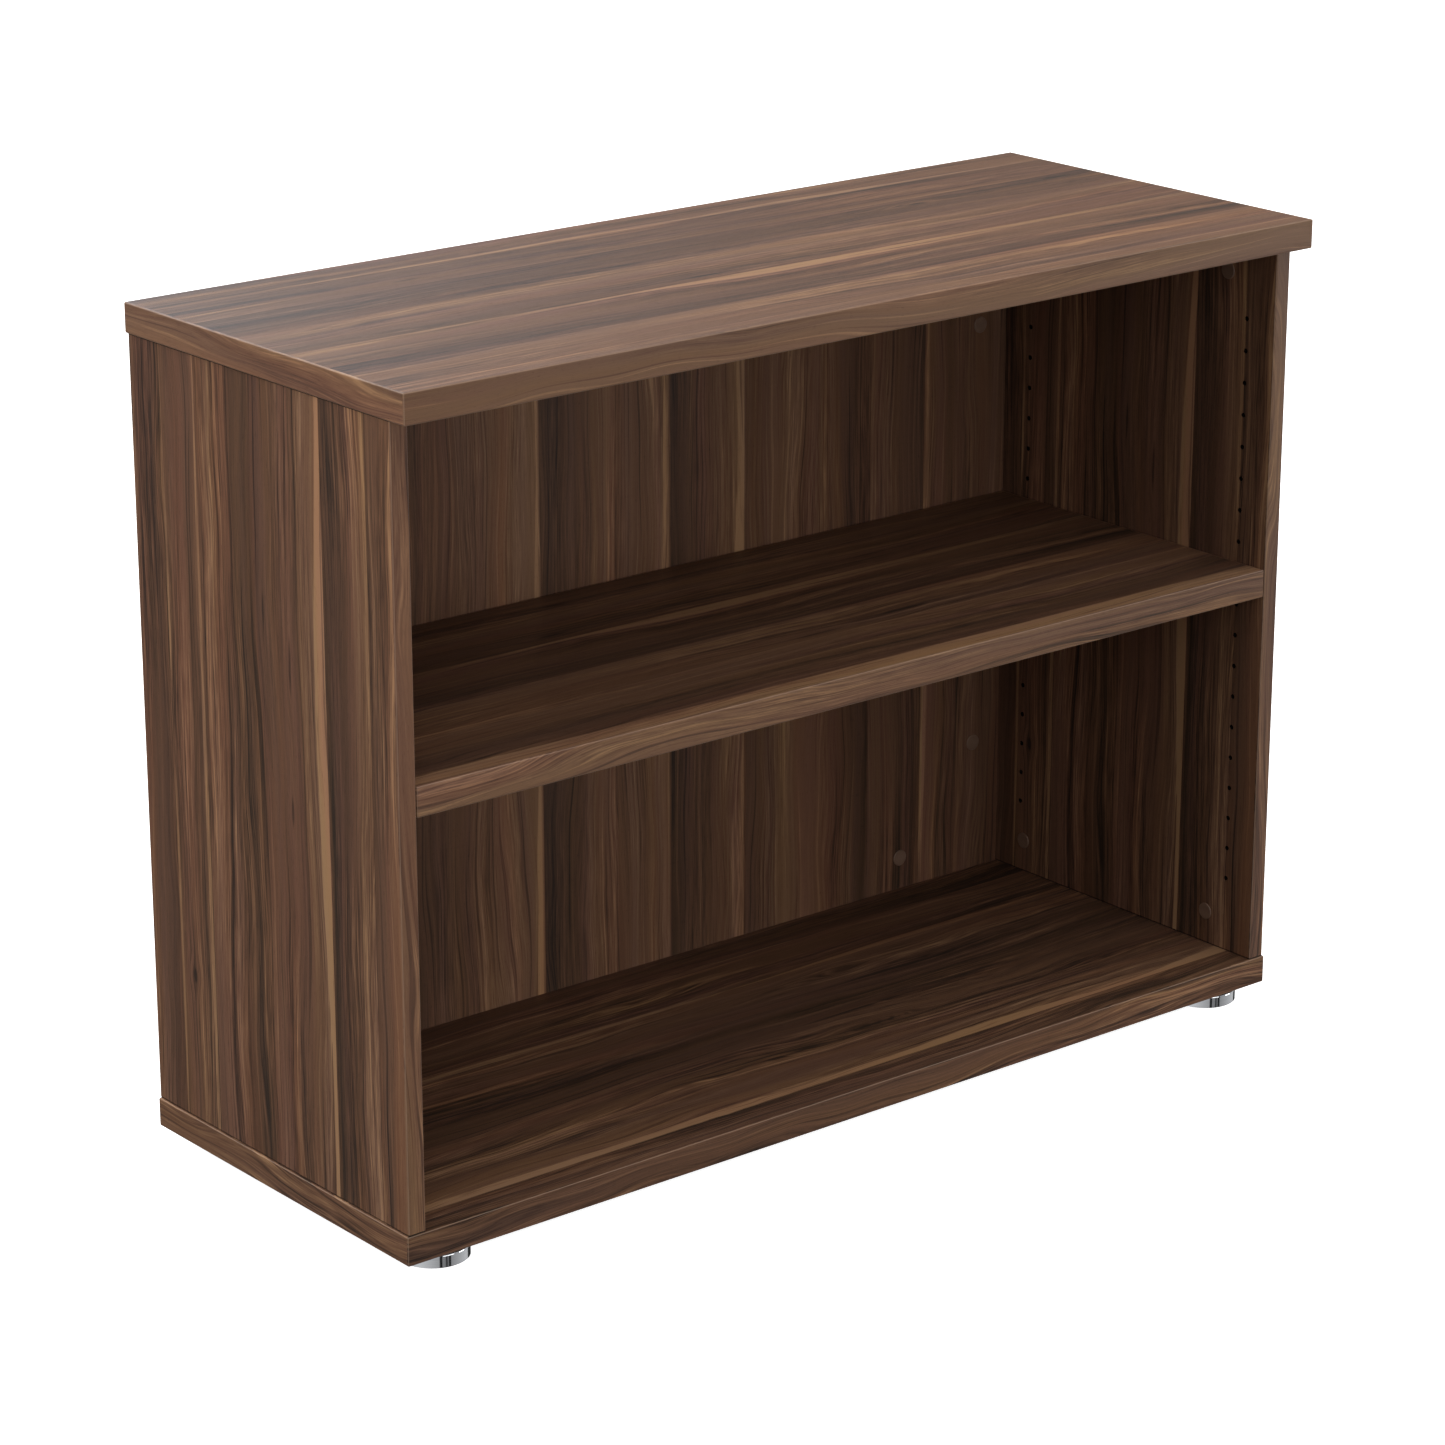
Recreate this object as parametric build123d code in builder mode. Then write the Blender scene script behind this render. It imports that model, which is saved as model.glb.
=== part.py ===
"""Low open bookcase: two 18 mm sides between a 28 mm top and base, an inset back,
one adjustable shelf on hidden pins, and four levelling feet in chrome cups.

Millimetres, +Z up. The origin is on the floor under the middle of the bookcase,
+X runs to its right and +Y to its back.
"""

import os

from build123d import *

# ---------------------------------------------------------------- driving dimensions
width = 1060  # over the top panel
depth = 423  # over the top panel
height = 800  # floor to the top surface

board = 28  # thickness of top, base and shelf
side_board = 18  # thickness of sides and back
band = 2  # thickness of the edge bands
edge_radius = 1.5  # rounding along the bands
end_chamfer = 0.8  # on the sides' sawn ends, which leaves a fine shadow joint

top_side_overhang = 3
top_front_overhang = 25
base_side_proud = 2
base_front_proud = 1
back_recess = 3

foot_height = 14  # floor to the underside of the base
foot_gap = 1  # between cup and base
foot_diameter = 65
foot_inset_x = 49.5  # from a side's outer face to the foot's centre
foot_inset_y = 33.2  # from the sides' front and rear edges to the foot's centre
stem_diameter = 10
stem_fit = 0.05  # radial clearance of the stem in its threaded insert
insert_depth = 20
play = 0.3  # between faces that turn on each other

hole_pitch = 32
hole_diameter = 5
hole_depth = 12
hole_setback = 37  # from the front edge, and from the back panel
first_hole = 77  # above the foot of the side
hole_rows = 19
shelf_row = 10  # counted from 0 at the bottom

shelf_side_gap = 1
shelf_rear_gap = 1.5
pin_above_underside = 16  # the pins lie inside the shelf's thickness
pin_head = 8
pin_head_length = 10
pin_depth = 9
pin_fit = 0.05
slot_length = 21

cam_diameter = 15
cam_bore_depth = 13.5
cam_height = 12.5
cam_sink = 0.5  # cam's face below the board's face
cam_reach = 34  # cam centre to the joint
cam_front = 64  # cam centres behind the sides' front edge
cam_rear = 334
bolt_thread = 6
bolt_thread_length = 11
bolt_shank = 7
bolt_bore = 8
dowel_diameter = 8
dowel_length = 34
dowel_in_face = 10
dowel_from_cam = 32
back_cam_reach = 36  # where the back meets the sides
back_cam_from_end = 140
back_cam_from_side = 136.6
cap_diameter = 17
cap_thickness = 1
socket_diameter = 4
socket_depth = 3

# ---------------------------------------------------------------- positions worked out
rear = depth / 2
side_front = -rear + top_front_overhang
side_outer = width / 2 - top_side_overhang
side_inner = side_outer - side_board
side_middle = side_outer - side_board / 2
base_bottom = foot_height
base_top = base_bottom + board
top_bottom = height - board
back_face = rear - back_recess - side_board
back_middle = back_face + side_board / 2

front_pins = side_front + hole_setback
rear_pins = back_face - hole_setback
pin_height = base_top + first_hole + shelf_row * hole_pitch
shelf_bottom = pin_height - pin_above_underside

RIGHT, BACK, UP = Vector(1, 0, 0), Vector(0, 1, 0), Vector(0, 0, 1)

os.makedirs("parts", exist_ok=True)


# ---------------------------------------------------------------- helpers
def box_between(low, high, mode=Mode.ADD):
    """A box between two opposite corners, in the builder that is open."""
    low, high = Vector(*low), Vector(*high)
    size = high - low
    with Locations((low + high) * 0.5):
        Box(size.X, size.Y, size.Z, mode=mode)


def drill(points, outward, diameter, deep):
    """Blind holes from points on a face into the board behind it."""
    with Locations(*[Plane(origin=point, z_dir=outward) for point in points]):
        Hole(diameter / 2, deep)


def cut_from(blank, low, high):
    """The part of a blank that lies between two opposite corners."""
    with BuildPart() as piece:
        add(blank.part)
        box_between(low, high, mode=Mode.INTERSECT)
    return piece


def copies(piece, places):
    """Separate solids of one piece, one at each place."""
    with BuildPart() as group:
        with Locations(*places):
            add(piece.part)
    return group


def mirrored(piece):
    """The same piece on the bookcase's other side."""
    with BuildPart() as twin:
        mirror(piece.part, about=Plane.YZ)
    return twin


def keep(piece, name):
    """Label a finished piece and write its file."""
    piece.part.label = name
    export_step(piece.part, f"parts/{name}.step")


def turned(*profile):
    """A piece turned about the Z axis from (radius, height) points, listed in order."""
    with BuildPart() as piece:
        with BuildSketch(Plane.XZ):
            with BuildLine():
                Polyline(*profile, close=True)
            make_face()
        revolve(axis=Axis.Z)
    return piece


# ---------------------------------------------------------------- joints between boards
def cam(mouth, face_normal, towards_joint, reach):
    """Where one cam fitting goes: its bore's mouth, two directions and its reach."""
    return {
        "mouth": Vector(*mouth),
        "normal": face_normal,
        "towards": towards_joint,
        "reach": reach,
    }


def cam_plane(fitting):
    return Plane(fitting["mouth"], x_dir=fitting["towards"], z_dir=fitting["normal"])


def joint_point(fitting):
    """Where the fitting's bolt crosses the joint, half way through the board."""
    to_joint = fitting["towards"] * fitting["reach"]
    return fitting["mouth"] + to_joint - fitting["normal"] * (side_board / 2)


def bore_cams(fittings):
    """The cam bores in a board, and the bolt bores from its edge to them."""
    for fitting in fittings:
        drill([fitting["mouth"]], fitting["normal"], cam_diameter, cam_bore_depth)
        drill([joint_point(fitting)], fitting["towards"], bolt_bore, fitting["reach"])


def at_both_sides(point):
    """A point on the left half, and the one that faces it on the right half."""
    x, y, z = point
    return [Vector(x, y, z), Vector(-x, y, z)]


left_side_cams = [
    cam((-side_inner, side_front + setback, end - way.Z * cam_reach), RIGHT, way, cam_reach)
    for end, way in ((base_top, -UP), (top_bottom, UP))
    for setback in (cam_front, cam_rear)
]

back_end_cam_x = side_inner - back_cam_from_side
back_end_cams = [
    cam((x, back_face, end - way.Z * cam_reach), -BACK, way, cam_reach)
    for end, way in ((base_top, -UP), (top_bottom, UP))
    for x in (-back_end_cam_x, back_end_cam_x)
]
back_side_cam_heights = (base_top + back_cam_from_end, top_bottom - back_cam_from_end)
back_side_cams = [
    cam((way.X * (side_inner - back_cam_reach), back_face, z), -BACK, way, back_cam_reach)
    for way in (-RIGHT, RIGHT)
    for z in back_side_cam_heights
]
back_cams = back_end_cams + back_side_cams

side_dowel_y = (
    side_front + cam_front + dowel_from_cam,
    side_front + cam_rear - dowel_from_cam,
)
back_dowel_x = back_end_cam_x - dowel_from_cam
back_dowel_z = (
    back_side_cam_heights[0] + dowel_from_cam,
    back_side_cam_heights[1] - dowel_from_cam,
)
foot_x = side_outer - foot_inset_x
foot_y = {"front": side_front + foot_inset_y, "rear": rear - foot_inset_y}


def end_joint_holes(z, outward):
    """Bolt and dowel holes in the top or base, where the sides and back meet it."""
    bolts = [Vector(x, side_front + y, z) for x in (-side_middle, side_middle)
             for y in (cam_front, cam_rear)]
    bolts += at_both_sides((back_end_cam_x, back_middle, z))
    dowels = [Vector(x, y, z) for x in (-side_middle, side_middle) for y in side_dowel_y]
    dowels += at_both_sides((back_dowel_x, back_middle, z))
    drill(bolts, outward, bolt_thread, bolt_thread_length)
    drill(dowels, outward, dowel_diameter, dowel_in_face)


# ---------------------------------------------------------------- banded boards
def banded_board(name, low, high):
    """A rounded blank, its four edge bands written to their files, and its core's box."""
    (x0, y0, z0), (x1, y1, z1) = low, high
    with BuildPart() as blank:
        box_between(low, high)
        fillet(blank.edges(), edge_radius)
    keep(cut_from(blank, low, (x1, y0 + band, z1)), f"{name}_front_band")
    keep(cut_from(blank, (x0, y1 - band, z0), high), f"{name}_rear_band")
    core = (x0 + band, y0 + band, z0), (x1 - band, y1 - band, z1)
    left = cut_from(blank, (x0, y0 + band, z0), (x0 + band, y1 - band, z1))
    return blank, core, left


# top panel
top_low = (-width / 2, -rear, top_bottom)
top_high = (width / 2, rear, height)
top_blank, top_core, top_left_band = banded_board("top", top_low, top_high)
keep(top_left_band, "top_left_band")
keep(mirrored(top_left_band), "top_right_band")
with BuildPart() as top_panel:
    add(top_blank.part)
    box_between(*top_core, mode=Mode.INTERSECT)
    end_joint_holes(top_bottom, -UP)
keep(top_panel, "top_panel")

# base panel, with bores for the feet's inserts
base_half = side_outer + base_side_proud
base_low = (-base_half, side_front - base_front_proud, base_bottom)
base_high = (base_half, rear, base_top)
base_blank, base_core, base_left_band = banded_board("base", base_low, base_high)
keep(base_left_band, "base_left_band")
keep(mirrored(base_left_band), "base_right_band")
insert_diameter = 14
insert_bore_depth = insert_depth + 1
foot_places = [Vector(x, y, 0) for x in (-foot_x, foot_x) for y in foot_y.values()]
with BuildPart() as base_panel:
    add(base_blank.part)
    box_between(*base_core, mode=Mode.INTERSECT)
    end_joint_holes(base_top, UP)
    insert_mouths = [place + UP * base_bottom for place in foot_places]
    drill(insert_mouths, -UP, insert_diameter, insert_bore_depth)
keep(base_panel, "base_panel")

# side panels, with two columns of pin holes on their inner faces
side_low = Vector(-side_outer, side_front, base_top)
side_high = Vector(-side_inner, rear, top_bottom)
with BuildPart() as side_blank:
    box_between(side_low, side_high)
    fillet(side_blank.edges().filter_by(Axis.Z), edge_radius)
    chamfer(side_blank.faces().sort_by(Axis.Z)[0].edges(), end_chamfer)
    chamfer(side_blank.faces().sort_by(Axis.Z)[-1].edges(), end_chamfer)
side_front_band = cut_from(side_blank, side_low, side_high - BACK * (rear - side_front - band))
side_rear_band = cut_from(side_blank, side_low + BACK * (rear - side_front - band), side_high)
keep(side_front_band, "left_side_front_band")
keep(side_rear_band, "left_side_rear_band")
keep(mirrored(side_front_band), "right_side_front_band")
keep(mirrored(side_rear_band), "right_side_rear_band")
pin_holes = [
    Vector(-side_inner, y, base_top + first_hole + row * hole_pitch)
    for y in (front_pins, rear_pins)
    for row in range(hole_rows)
]
with BuildPart() as left_side_panel:
    add(side_blank.part)
    box_between(side_low + BACK * band, side_high - BACK * band, mode=Mode.INTERSECT)
    drill(pin_holes, RIGHT, hole_diameter, hole_depth)
    bore_cams(left_side_cams)
    for end, way in ((base_top, -UP), (top_bottom, UP)):
        dowel_mouths = [Vector(-side_middle, y, end) for y in side_dowel_y]
        drill(dowel_mouths, way, dowel_diameter, dowel_length - dowel_in_face)
    back_bolt_mouths = [Vector(-side_inner, back_middle, z) for z in back_side_cam_heights]
    back_dowel_mouths = [Vector(-side_inner, back_middle, z) for z in back_dowel_z]
    drill(back_bolt_mouths, RIGHT, bolt_thread, bolt_thread_length)
    drill(back_dowel_mouths, RIGHT, dowel_diameter, dowel_in_face)
keep(left_side_panel, "left_side_panel")
keep(mirrored(left_side_panel), "right_side_panel")

# back panel, inset between the sides
with BuildPart() as back_panel:
    box_between(
        (-side_inner, back_face, base_top),
        (side_inner, back_face + side_board, top_bottom),
    )
    bore_cams(back_cams)
    in_edge = dowel_length - dowel_in_face
    for end, way in ((base_top, -UP), (top_bottom, UP)):
        drill(at_both_sides((back_dowel_x, back_middle, end)), way, dowel_diameter, in_edge)
    for x, way in ((-side_inner, -RIGHT), (side_inner, RIGHT)):
        drill([Vector(x, back_middle, z) for z in back_dowel_z], way, dowel_diameter, in_edge)
keep(back_panel, "back_panel")

# shelf, with a slot for each pin, open below and at the shelf's end
shelf_half = side_inner - shelf_side_gap
shelf_low = (-shelf_half, side_front, shelf_bottom)
shelf_high = (shelf_half, back_face - shelf_rear_gap, shelf_bottom + board)
shelf_blank, shelf_core, shelf_left_band = banded_board("shelf", shelf_low, shelf_high)
slot_radius = pin_head / 2 + play


def cut_pin_slots(ways):
    """Round-roofed slots over the pins, from the ends that the ways point out of."""
    for way in ways:
        for y in (front_pins, rear_pins):
            roof = Vector(way.X * shelf_half, y, pin_height)
            with Locations(Plane(origin=roof, z_dir=way)):
                Hole(slot_radius, slot_length)
            inner = roof - way * slot_length
            box_between(
                (min(roof.X, inner.X), y - slot_radius, shelf_bottom),
                (max(roof.X, inner.X), y + slot_radius, pin_height),
                mode=Mode.SUBTRACT,
            )


with BuildPart() as slotted_band:
    add(shelf_left_band.part)
    cut_pin_slots([-RIGHT])
keep(slotted_band, "shelf_left_band")
keep(mirrored(slotted_band), "shelf_right_band")
with BuildPart() as shelf_board:
    add(shelf_blank.part)
    box_between(*shelf_core, mode=Mode.INTERSECT)
    cut_pin_slots([-RIGHT, RIGHT])
keep(shelf_board, "shelf_board")

# ---------------------------------------------------------------- joint hardware
# cam lock: a cup that is open below, slotted for the bolt's neck and head
cam_top = -cam_sink
cam_bottom = -cam_sink - cam_height
claw_width = 4.6  # narrower than the bolt's head, so that the cam holds it
head_room = 7.6
cam_lid = 4.6
with BuildPart() as cam_lock:
    with Locations((0, 0, cam_bottom)):
        Cylinder(cam_diameter / 2 - play / 3, cam_height,
                 align=(Align.CENTER, Align.CENTER, Align.MIN))
    box_between((-4, -head_room / 2, cam_bottom), (2.6, head_room / 2, cam_top - cam_lid),
                mode=Mode.SUBTRACT)
    box_between((0, -claw_width / 2, cam_bottom), (cam_diameter, claw_width / 2, cam_top - cam_lid),
                mode=Mode.SUBTRACT)
    with Locations((0, 0, cam_top)):
        Hole(socket_diameter / 2, socket_depth)
    for arm in ((4, 0.7), (0.7, 4)):
        box_between((-arm[0], -arm[1], cam_top - 2), (*arm, cam_top), mode=Mode.SUBTRACT)

# cover cap: a bevelled disc with a peg that presses into the cam's socket
peg_radius = socket_diameter / 2 - 0.05
cover_cap = turned(
    (0, cap_thickness),
    (cap_diameter / 2 - 0.6, cap_thickness),
    (cap_diameter / 2, cap_thickness - 0.5),
    (cap_diameter / 2, 0),
    (peg_radius, 0),
    (peg_radius, cam_top - socket_depth + 0.4),
    (0, cam_top - socket_depth + 0.4),
)


def cam_bolt(reach):
    """A bolt that stands on the joint at z = 0: thread below, shank, neck and head above."""
    head_low, head_high, neck = reach - 2, reach + 1, 2
    return turned(
        (0, -bolt_thread_length),
        (bolt_thread / 2 - 0.6, -bolt_thread_length),
        (bolt_thread / 2, -bolt_thread_length + 1.5),
        (bolt_thread / 2, 0),
        (bolt_shank / 2, 0),
        (bolt_shank / 2, reach - cam_diameter / 2 - 1.5),
        (neck, reach - cam_diameter / 2),
        (neck, head_low),
        (bolt_shank / 2, head_low + 0.4),
        (bolt_shank / 2, head_high - 1),
        (neck, head_high),
        (0, head_high),
    )


def bolt_places(fittings):
    return [Plane(origin=joint_point(f), z_dir=-f["towards"]) for f in fittings]


# dowel: stands on the joint at z = 0, its longer end in the board's edge
dowel_bevel = 1
with BuildPart() as dowel:
    with Locations((0, 0, -dowel_in_face)):
        Cylinder(dowel_diameter / 2, dowel_length,
                 align=(Align.CENTER, Align.CENTER, Align.MIN))
    chamfer(dowel.edges().filter_by(GeomType.CIRCLE), dowel_bevel)


def dowel_places(points, towards):
    return [Plane(origin=point, z_dir=-towards) for point in points]


long_bolt, side_bolt = cam_bolt(back_cam_reach), cam_bolt(cam_reach)
side_locks = copies(cam_lock, [cam_plane(f) for f in left_side_cams])
side_caps = copies(cover_cap, [cam_plane(f) for f in left_side_cams])
side_bolts = copies(side_bolt, bolt_places(left_side_cams))
side_dowels = copies(
    dowel,
    dowel_places([Vector(-side_middle, y, base_top) for y in side_dowel_y], -UP)
    + dowel_places([Vector(-side_middle, y, top_bottom) for y in side_dowel_y], UP),
)
for name, group in (("cam_locks", side_locks), ("cover_caps", side_caps),
                    ("cam_bolts", side_bolts), ("dowels", side_dowels)):
    keep(group, f"left_side_{name}")
    keep(mirrored(group), f"right_side_{name}")

keep(copies(cam_lock, [cam_plane(f) for f in back_cams]), "back_cam_locks")
keep(copies(cover_cap, [cam_plane(f) for f in back_cams]), "back_cover_caps")
with BuildPart() as back_cam_bolts:
    with Locations(*bolt_places(back_end_cams)):
        add(side_bolt.part)
    with Locations(*bolt_places(back_side_cams)):
        add(long_bolt.part)
keep(back_cam_bolts, "back_cam_bolts")
back_dowels = copies(
    dowel,
    dowel_places(at_both_sides((back_dowel_x, back_middle, base_top)), -UP)
    + dowel_places(at_both_sides((back_dowel_x, back_middle, top_bottom)), UP)
    + dowel_places([Vector(-side_inner, back_middle, z) for z in back_dowel_z], -RIGHT)
    + dowel_places([Vector(side_inner, back_middle, z) for z in back_dowel_z], RIGHT),
)
keep(back_dowels, "back_dowels")

# ---------------------------------------------------------------- shelf pins
# stepped steel pin: z = 0 is the side's face, the head stands out and the peg goes in
pin_radius, peg = pin_head / 2, hole_diameter / 2 - pin_fit
shelf_pin = turned(
    (0, -pin_depth),
    (peg - 0.5, -pin_depth),
    (peg, -pin_depth + 0.5),
    (peg, 0),
    (pin_radius, 0),
    (pin_radius, pin_head_length - 0.8),
    (pin_radius - 0.8, pin_head_length),
    (0, pin_head_length),
)
for end, y in (("front", front_pins), ("rear", rear_pins)):
    at_hole = Plane(origin=(-side_inner, y, pin_height), z_dir=RIGHT)
    left_pin = copies(shelf_pin, [at_hole])
    keep(left_pin, f"{end}_left_shelf_pin")
    keep(mirrored(left_pin), f"{end}_right_shelf_pin")

# ---------------------------------------------------------------- levelling feet
cup_radius = foot_diameter / 2
cup_wall = 1.2
cup_top = foot_height - foot_gap
cup_rim = 0.5  # height of the cup's lower rim above the floor
stem_radius = stem_diameter / 2 - stem_fit
stem_top = base_bottom + insert_depth - 1
collar_radius = 9
collar_thickness = 1.5
pad_floor = 3  # pad material left under the stem

# chrome cup: a turned shell with a rounded shoulder, open below
shoulder = 2.4
with BuildPart() as foot_cup:
    with BuildSketch(Plane.XZ):
        with BuildLine():
            Polyline(
                (stem_radius, cup_top - cup_wall),
                (stem_radius, cup_top),
                (cup_radius - shoulder, cup_top),
            )
            RadiusArc((cup_radius - shoulder, cup_top), (cup_radius, cup_top - shoulder), shoulder)
            Polyline(
                (cup_radius, cup_top - shoulder),
                (cup_radius, cup_rim),
                (cup_radius - cup_wall, cup_rim),
                (cup_radius - cup_wall, cup_top - shoulder),
            )
            RadiusArc(
                (cup_radius - cup_wall, cup_top - shoulder),
                (cup_radius - shoulder, cup_top - cup_wall),
                -(shoulder - cup_wall),
            )
            Line((cup_radius - shoulder, cup_top - cup_wall), (stem_radius, cup_top - cup_wall))
        make_face()
    revolve(axis=Axis.Z)

# threaded stem with the collar that carries the cup
collar_top = cup_top - cup_wall
foot_stem = turned(
    (0, pad_floor + play),
    (stem_radius, pad_floor + play),
    (stem_radius, collar_top - collar_thickness),
    (collar_radius, collar_top - collar_thickness),
    (collar_radius, collar_top),
    (stem_radius, collar_top),
    (stem_radius, stem_top - 1),
    (stem_radius - 1, stem_top),
    (0, stem_top),
)

# plastic pad inside the cup, which stands still on the floor while the stem turns
pad_radius = cup_radius - cup_wall - play
pad_top = collar_top - play
pad_shoulder = cup_top - shoulder - play
pad_taper = shoulder - cup_wall
collar_seat = collar_top - collar_thickness - play
foot_pad = turned(
    (0, 0),
    (pad_radius - 1.5, 0),
    (pad_radius, 1.5),
    (pad_radius, pad_shoulder - pad_taper),
    (pad_radius - 2 * pad_taper, pad_top),
    (collar_radius + play, pad_top),
    (collar_radius + play, collar_seat),
    (stem_radius + play, collar_seat),
    (stem_radius + play, pad_floor),
    (0, pad_floor),
)

# threaded insert in the base
foot_insert = turned(
    (stem_diameter / 2, base_bottom),
    (insert_diameter / 2, base_bottom),
    (insert_diameter / 2, base_bottom + insert_depth),
    (stem_diameter / 2, base_bottom + insert_depth),
)

keep(copies(foot_insert, foot_places), "foot_inserts")
for end, y in foot_y.items():
    for name, piece in (("cup", foot_cup), ("stem", foot_stem), ("pad", foot_pad)):
        left_foot = copies(piece, [Vector(-foot_x, y, 0)])
        keep(left_foot, f"{end}_left_foot_{name}")
        keep(mirrored(left_foot), f"{end}_right_foot_{name}")
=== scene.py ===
"""Looks for a low open bookcase in walnut plank decor, on four chrome levelling feet.

The boards are the CAD solids with procedural finishes. The threaded stems of the feet are modelled here.
"""

import math

import bmesh
import bpy
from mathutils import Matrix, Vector


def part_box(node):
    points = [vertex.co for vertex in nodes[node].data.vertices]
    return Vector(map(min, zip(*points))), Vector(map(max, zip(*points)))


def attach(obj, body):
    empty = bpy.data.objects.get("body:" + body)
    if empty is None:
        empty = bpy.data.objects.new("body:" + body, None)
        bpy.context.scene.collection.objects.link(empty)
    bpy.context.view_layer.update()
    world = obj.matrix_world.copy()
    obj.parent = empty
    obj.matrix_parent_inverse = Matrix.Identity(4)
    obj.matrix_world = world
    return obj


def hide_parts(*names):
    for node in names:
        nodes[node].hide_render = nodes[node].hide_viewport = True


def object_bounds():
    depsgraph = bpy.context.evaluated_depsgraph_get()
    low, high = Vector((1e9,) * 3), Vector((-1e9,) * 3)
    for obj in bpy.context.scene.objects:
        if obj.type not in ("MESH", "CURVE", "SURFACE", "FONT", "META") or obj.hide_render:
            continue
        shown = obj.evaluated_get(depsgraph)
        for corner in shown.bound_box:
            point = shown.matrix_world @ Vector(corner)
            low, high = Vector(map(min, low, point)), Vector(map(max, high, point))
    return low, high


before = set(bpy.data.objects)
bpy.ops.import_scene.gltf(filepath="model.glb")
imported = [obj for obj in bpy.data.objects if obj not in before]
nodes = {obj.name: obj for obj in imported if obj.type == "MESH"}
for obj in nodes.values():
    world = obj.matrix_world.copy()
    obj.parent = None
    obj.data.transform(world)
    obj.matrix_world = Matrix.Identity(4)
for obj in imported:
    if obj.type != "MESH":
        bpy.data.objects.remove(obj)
cad_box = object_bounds()

MM = 0.001                     # Blender works in metres; the decor and the threads below are in millimetres
CORNERS = ("front_left", "front_right", "rear_left", "rear_right")

# ---------------------------------------------------------------- camera

CAMERA_PLACE = (-2.568, -3.107, 1.697)
CAMERA_TURN = 39.32            # degrees from straight at the front, towards the right side
CAMERA_TILT = 18.44            # degrees below level
CAMERA_LENS = 111.9            # millimetres
CAMERA_SENSOR = 36.0           # width in millimetres


def add_camera():
    data = bpy.data.cameras.new("camera")
    data.lens = CAMERA_LENS
    data.sensor_width = CAMERA_SENSOR
    camera = bpy.data.objects.new("camera", data)
    camera.location = CAMERA_PLACE
    camera.rotation_euler = (math.radians(90 - CAMERA_TILT), 0, math.radians(-CAMERA_TURN))
    bpy.context.scene.collection.objects.link(camera)
    bpy.context.scene.camera = camera


# ---------------------------------------------------------------- node helpers

MIX_FIRST, MIX_SECOND, MIX_RESULT = 6, 7, 2    # where a mix node keeps its colour sockets
NOISE_LOW, NOISE_HIGH = 0.3, 0.7               # most of any noise lies between these


def linear(red, green, blue):
    """The linear colour of a screen colour given as 0 to 255."""
    def channel(value):
        value /= 255
        return value / 12.92 if value <= 0.04045 else ((value + 0.055) / 1.055) ** 2.4
    return (channel(red), channel(green), channel(blue), 1.0)


def grey(level):
    return (level, level, level, 1.0)


class Nodes:
    """Short ways to add nodes to a node tree."""

    def __init__(self, tree):
        self.tree = tree

    def add(self, kind, **settings):
        node = self.tree.nodes.new(kind)
        for setting, value in settings.items():
            setattr(node, setting, value)
        return node

    def put(self, value, socket):
        """Links an output to a socket, or sets the socket to a constant."""
        if isinstance(value, bpy.types.NodeSocket):
            self.tree.links.new(value, socket)
        else:
            socket.default_value = value

    def math(self, operation, *values):
        node = self.add("ShaderNodeMath", operation=operation)
        for value, socket in zip(values, node.inputs):
            self.put(value, socket)
        return node.outputs[0]

    def scaled(self, value, low, high, new_low=0.0, new_high=1.0, soft=False):
        """Maps low..high to new_low..new_high and holds the ends, in a straight or a soft slope."""
        node = self.add("ShaderNodeMapRange", clamp=True)
        node.interpolation_type = "SMOOTHSTEP" if soft else "LINEAR"
        for number, socket in zip((value, low, high, new_low, new_high), node.inputs):
            self.put(number, socket)
        return node.outputs[0]

    def spread(self, noise, low=0.0, high=1.0):
        """Maps the span in which most of a noise lies to low..high."""
        return self.scaled(noise, NOISE_LOW, NOISE_HIGH, low, high)

    def vector(self, x, y, z):
        node = self.add("ShaderNodeCombineXYZ")
        for value, socket in zip((x, y, z), node.inputs):
            self.put(value, socket)
        return node.outputs[0]

    def place(self):
        """The point on the object in the shared frame, in mm, as the outputs X, Y and Z."""
        metres = self.add("ShaderNodeTexCoord").outputs["Object"]
        node = self.add("ShaderNodeVectorMath", operation="SCALE")
        self.put(metres, node.inputs[0])
        node.inputs["Scale"].default_value = 1 / MM
        split = self.add("ShaderNodeSeparateXYZ")
        self.put(node.outputs[0], split.inputs[0])
        return dict(zip("XYZ", split.outputs))

    def noise(self, x, y, length, width, seed, detail=0.0):
        """Noise whose grains are about length along x and width along y."""
        node = self.add("ShaderNodeTexNoise", noise_dimensions="3D")
        along = self.math("DIVIDE", x, length)
        across = self.math("DIVIDE", y, width)
        self.put(self.vector(along, across, seed), node.inputs["Vector"])
        node.inputs["Scale"].default_value = 1.0
        node.inputs["Detail"].default_value = detail
        return node.outputs["Fac"]

    def ramp(self, value, stops, interpolation="LINEAR"):
        """A ramp through (place, colour) stops, at most 32 of them."""
        node = self.add("ShaderNodeValToRGB")
        node.color_ramp.interpolation = interpolation
        elements = node.color_ramp.elements
        while len(elements) > 1:
            elements.remove(elements[-1])
        elements[0].position, elements[0].color = stops[0]
        for position, colour in stops[1:]:
            elements.new(position).color = colour
        self.put(value, node.inputs["Fac"])
        return node.outputs["Color"]

    def mix(self, factor, first, second, kind="MIX"):
        """The first colour, blended with the second as far as factor says."""
        node = self.add("ShaderNodeMix", data_type="RGBA", blend_type=kind)
        self.put(factor, node.inputs["Factor"])
        self.put(first, node.inputs[MIX_FIRST])
        self.put(second, node.inputs[MIX_SECOND])
        return node.outputs[MIX_RESULT]

    def for_rays(self, kind, level, otherwise):
        """level for one kind of ray, such as "Is Camera Ray", and otherwise for the rest."""
        ray = self.add("ShaderNodeLightPath")
        return self.mix(ray.outputs[kind], otherwise, level)


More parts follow.
